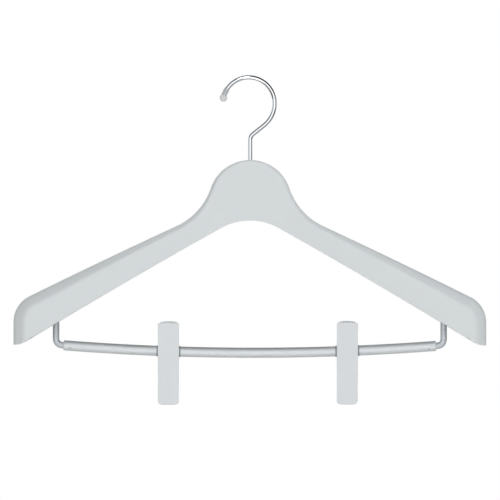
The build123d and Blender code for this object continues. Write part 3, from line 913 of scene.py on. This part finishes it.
# ---- Pieces ----
class HANGER_OT_hook(bpy.types.Operator):
    """Make the chromed wire hook"""
    bl_idname = "hanger.hook"
    bl_label = "Hook"

    def execute(self, context):
        size = context.scene.hanger_hook
        path = hook_path(size)
        end, radius = path[0][-1], size.wire / 2
        wide = radius + size.head_lap
        corners = [(0, 0), (0, radius), (end - size.head_height, radius),
                   (end - size.head_height, wide), (end, wide), (end, 0)]
        outline = dense(rounded(corners, (0.4 * MM, 0.15 * MM, 0.3 * MM, 0.5 * MM)), 0.8 * MM)
        make_piece("wire_hook", [swept(path, outline)], "hook", "hook_wire",
                   chrome_plate(context.scene.hanger_finish.chrome))
        return {"FINISHED"}


class HANGER_OT_tip_cap(bpy.types.Operator):
    """Make the clear vinyl cap on the hook's tip"""
    bl_idname = "hanger.tip_cap"
    bl_label = "Tip cap"

    def execute(self, context):
        size = context.scene.hanger_hook
        first = size.tip - size.cap_grip / size.crown
        span = size.cap_grip + size.bulb_lead
        path = trace(crown_point(size, first), first + pi / 2, [(size.crown, span / size.crown)])
        bore, skin = size.wire / 2 + PRESS_FIT, size.wire / 2 + size.cap_wall
        bulb = skin + size.bulb_lap
        a = np.linspace(pi - asin(skin / bulb), 0, 26)
        ball = np.stack([span + bulb * np.cos(a), bulb * np.sin(a)], 1)
        lead = rounded([(size.cap_grip, 0), (size.cap_grip, bore), (0, bore), (0, skin),
                        (ball[0, 0], skin)], (0.3 * MM, 0.15 * MM, 0.3 * MM))
        outline = dense(np.concatenate([lead, ball[1:]]), 0.5 * MM)
        make_piece("vinyl_tip_cap", [swept(path, outline)], "hook", "hook_tip_cap",
                   clear_vinyl(context.scene.hanger_finish.vinyl))
        return {"FINISHED"}


class HANGER_OT_swivel(bpy.types.Operator):
    """Make the washer and the bush that the hook turns in"""
    bl_idname = "hanger.swivel"
    bl_label = "Swivel"

    def execute(self, context):
        hook, size = context.scene.hanger_hook, context.scene.hanger_swivel
        colours = context.scene.hanger_finish
        bore = hook.wire / 2 + TURNING_FIT
        low = -hook.shank_end + hook.head_height
        washer = pipe(straight((0, 0, low), Z_AXIS, size.washer_height), size.washer / 2, bore,
                      0.15 * MM)
        make_piece("zinc_washer", [washer], "hook", "hook_washer",
                   zinc_plate(colours.zinc))
        low += size.washer_height + WASHER_GAP
        total = size.flange_height + size.bush_height
        rim = [(0, size.flange / 2), (size.flange_height, size.flange / 2),
               (size.flange_height, size.bush / 2), (total, size.bush / 2)]
        bush = bored(straight((0, 0, low), Z_AXIS, total), bore, rim, 0.2 * MM, 0.8 * MM)
        make_piece("nylon_bush", [bush], "hanger", "swivel_bush",
                   natural_nylon(colours.nylon))
        return {"FINISHED"}


class HANGER_OT_body(bpy.types.Operator):
    """Make the moulded body with its ribs and bosses"""
    bl_idname = "hanger.body"
    bl_label = "Body"

    def execute(self, context):
        scene = context.scene
        shells = body_shells(scene.hanger_body, scene.hanger_bar, scene.hanger_swivel,
                             scene.hanger_hook)
        make_piece("moulded_body", shells, "hanger", "hanger_body",
                   moulded_styrene("moulded_body_styrene", scene.hanger_finish.body))
        return {"FINISHED"}


class HANGER_OT_trouser_bar(bpy.types.Operator):
    """Make the bowed tube, its bent legs and the drive pins"""
    bl_idname = "hanger.trouser_bar"
    bl_label = "Trouser bar"

    def execute(self, context):
        size, colours = context.scene.hanger_bar, context.scene.hanger_finish
        tube = pipe(bar_path(size, -size.half_span, size.half_span), size.tube / 2,
                    size.tube / 2 - size.wall, 1.1 * MM, sides=64)
        make_piece("bowed_tube", [tube], "hanger", "trouser_bar_tube",
                   satin_nickel("satin_nickel_tube", colours.bar, (0.06, 1, 1)))
        leg_finish = satin_nickel("satin_nickel_rod", colours.leg, (1, 1, 0.06))
        pin_finish = satin_nickel("dull_pin_steel", colours.pin, (1, 1, 1))
        lean = asin((size.leg_x - size.leg_bend) / (size.bow - size.leg_bend))
        stub_x, pin_x = size.half_span - size.stub, size.half_span - size.pin_inset
        slope = asin(stub_x / size.bow)
        reach = sqrt((size.tube / 2) ** 2 - size.pin_drop ** 2) + size.pin_proud
        for name, side in SIDES:
            moves = [(size.bow, side * (lean - slope)), (size.leg_bend, side * (pi / 2 - lean))]
            path = trace_to(-size.leg_top, (side * stub_x, bar_point(size, stub_x)),
                            slope if side > 0 else pi - slope, moves)
            make_piece(f"{name}_bent_leg", [rod(path, size.leg / 2, 0.6 * MM)], "hanger",
                       f"{name}_bar_leg", leg_finish)
            place = (side * pin_x, -reach, bar_point(size, pin_x) - size.pin_drop)
            pin = rod(straight(place, Y_AXIS, 2 * reach), size.pin / 2, 0.35 * MM, side=Z_AXIS,
                      sides=24)
            make_piece(f"{name}_drive_pin", [pin], "hanger", f"{name}_bar_pin",
                       pin_finish)
        return {"FINISHED"}


class HANGER_OT_clip_sleeves(bpy.types.Operator):
    """Make the friction sleeves that the clips ride on"""
    bl_idname = "hanger.clip_sleeves"
    bl_label = "Clip sleeves"

    def execute(self, context):
        size, bar = context.scene.hanger_clip, context.scene.hanger_bar
        # the sleeves' mid grey is painted shade: their necks beside each clip stand for the contact
        # shadow on the bar
        finish = shadow_grey_acetal(context.scene.hanger_finish.acetal)
        inner = bar.tube / 2 + size.running
        thin, thick = inner + size.neck_wall, inner + size.sleeve
        half = size.width / 2 + size.neck
        for name, pivot in PIVOTS.items():
            path = bar_path(bar, pivot[0] - half, pivot[0] + half)
            end = path[0][-1]
            rim = [(0, thin), (size.neck, thin), (size.neck, thick), (end - size.neck, thick),
                   (end - size.neck, thin), (end, thin)]
            make_piece(f"{name}_sleeve", [bored(path, inner, rim, 0.1 * MM)],
                       f"{name}_slider", f"{name}_clip_sleeve", finish)
        return {"FINISHED"}


class HANGER_OT_clip_leaves(bpy.types.Operator):
    """Make the front and rear leaves of both clips"""
    bl_idname = "hanger.clip_leaves"
    bl_label = "Clip leaves"

    def execute(self, context):
        size, bar = context.scene.hanger_clip, context.scene.hanger_bar
        finish = moulded_styrene("moulded_clip_styrene", context.scene.hanger_finish.clip)
        widths = {"front": size.width, "rear": size.width - 2 * (size.cheek + size.side_gap)}
        for name, pivot in PIVOTS.items():
            for end, side in ENDS:
                shells = leaf_shells(size, bar, pivot, side, widths[end])
                make_piece(f"{name}_{end}_leaf", shells, f"{name}_clip_{end}",
                           f"{name}_clip_{end}_leaf", finish)
        return {"FINISHED"}


class HANGER_OT_jaw_pads(bpy.types.Operator):
    """Make the ribbed jaw pads of both clips"""
    bl_idname = "hanger.jaw_pads"
    bl_label = "Jaw pads"

    def execute(self, context):
        size, bar = context.scene.hanger_clip, context.scene.hanger_bar
        finish = soft_rubber(context.scene.hanger_finish.rubber)
        for name, pivot in PIVOTS.items():
            for end, side in ENDS:
                make_piece(f"{name}_{end}_ribbed_pad", [pad_shell(size, bar, pivot, side)],
                           f"{name}_clip_{end}", f"{name}_clip_{end}_pad", finish)
        return {"FINISHED"}


class HANGER_OT_clip_springs(bpy.types.Operator):
    """Make the torsion springs, fixed where they lie; the real ones wind up as the jaws open"""
    bl_idname = "hanger.clip_springs"
    bl_label = "Clip springs"

    def execute(self, context):
        size, bar = context.scene.hanger_clip, context.scene.hanger_bar
        finish = spring_wire(context.scene.hanger_finish.spring)
        for name, pivot in PIVOTS.items():
            wire = rod(spring_path(size, bar, pivot), size.spring / 2, 0.2 * MM, 0.6 * MM,
                       side=X_AXIS, sides=14)
            piece = make_piece(f"{name}_torsion_spring", [wire], None, f"{name}_clip_spring",
                               finish)
            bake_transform(piece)
        return {"FINISHED"}


OPERATORS = (HANGER_OT_stage, HANGER_OT_hook, HANGER_OT_tip_cap, HANGER_OT_swivel, HANGER_OT_body,
             HANGER_OT_trouser_bar, HANGER_OT_clip_sleeves, HANGER_OT_clip_leaves,
             HANGER_OT_jaw_pads, HANGER_OT_clip_springs)


class HANGER_PT_build(bpy.types.Panel):
    """Buttons for each piece of the hanger"""
    bl_label = "Hanger"
    bl_idname = "HANGER_PT_build"
    bl_space_type = "VIEW_3D"
    bl_region_type = "UI"
    bl_category = "Hanger"

    def draw(self, context):
        for operator in OPERATORS:
            self.layout.operator(operator.bl_idname)


def register():
    """Add the groups, operators and panel, and give each group its place on the scene."""
    for group in (*GROUPS.values(), *OPERATORS, HANGER_PT_build):
        bpy.utils.register_class(group)
    for name, group in GROUPS.items():
        setattr(bpy.types.Scene, f"hanger_{name}", PointerProperty(type=group))


def unregister():
    """Take away what register added."""
    for name in GROUPS:
        delattr(bpy.types.Scene, f"hanger_{name}")
    for group in (*GROUPS.values(), *OPERATORS, HANGER_PT_build):
        bpy.utils.unregister_class(group)


def main():
    """Build every piece in order."""
    register()
    for operator in OPERATORS:
        getattr(bpy.ops.hanger, operator.bl_idname.split(".")[1])()


if __name__ == "__main__":
    main()
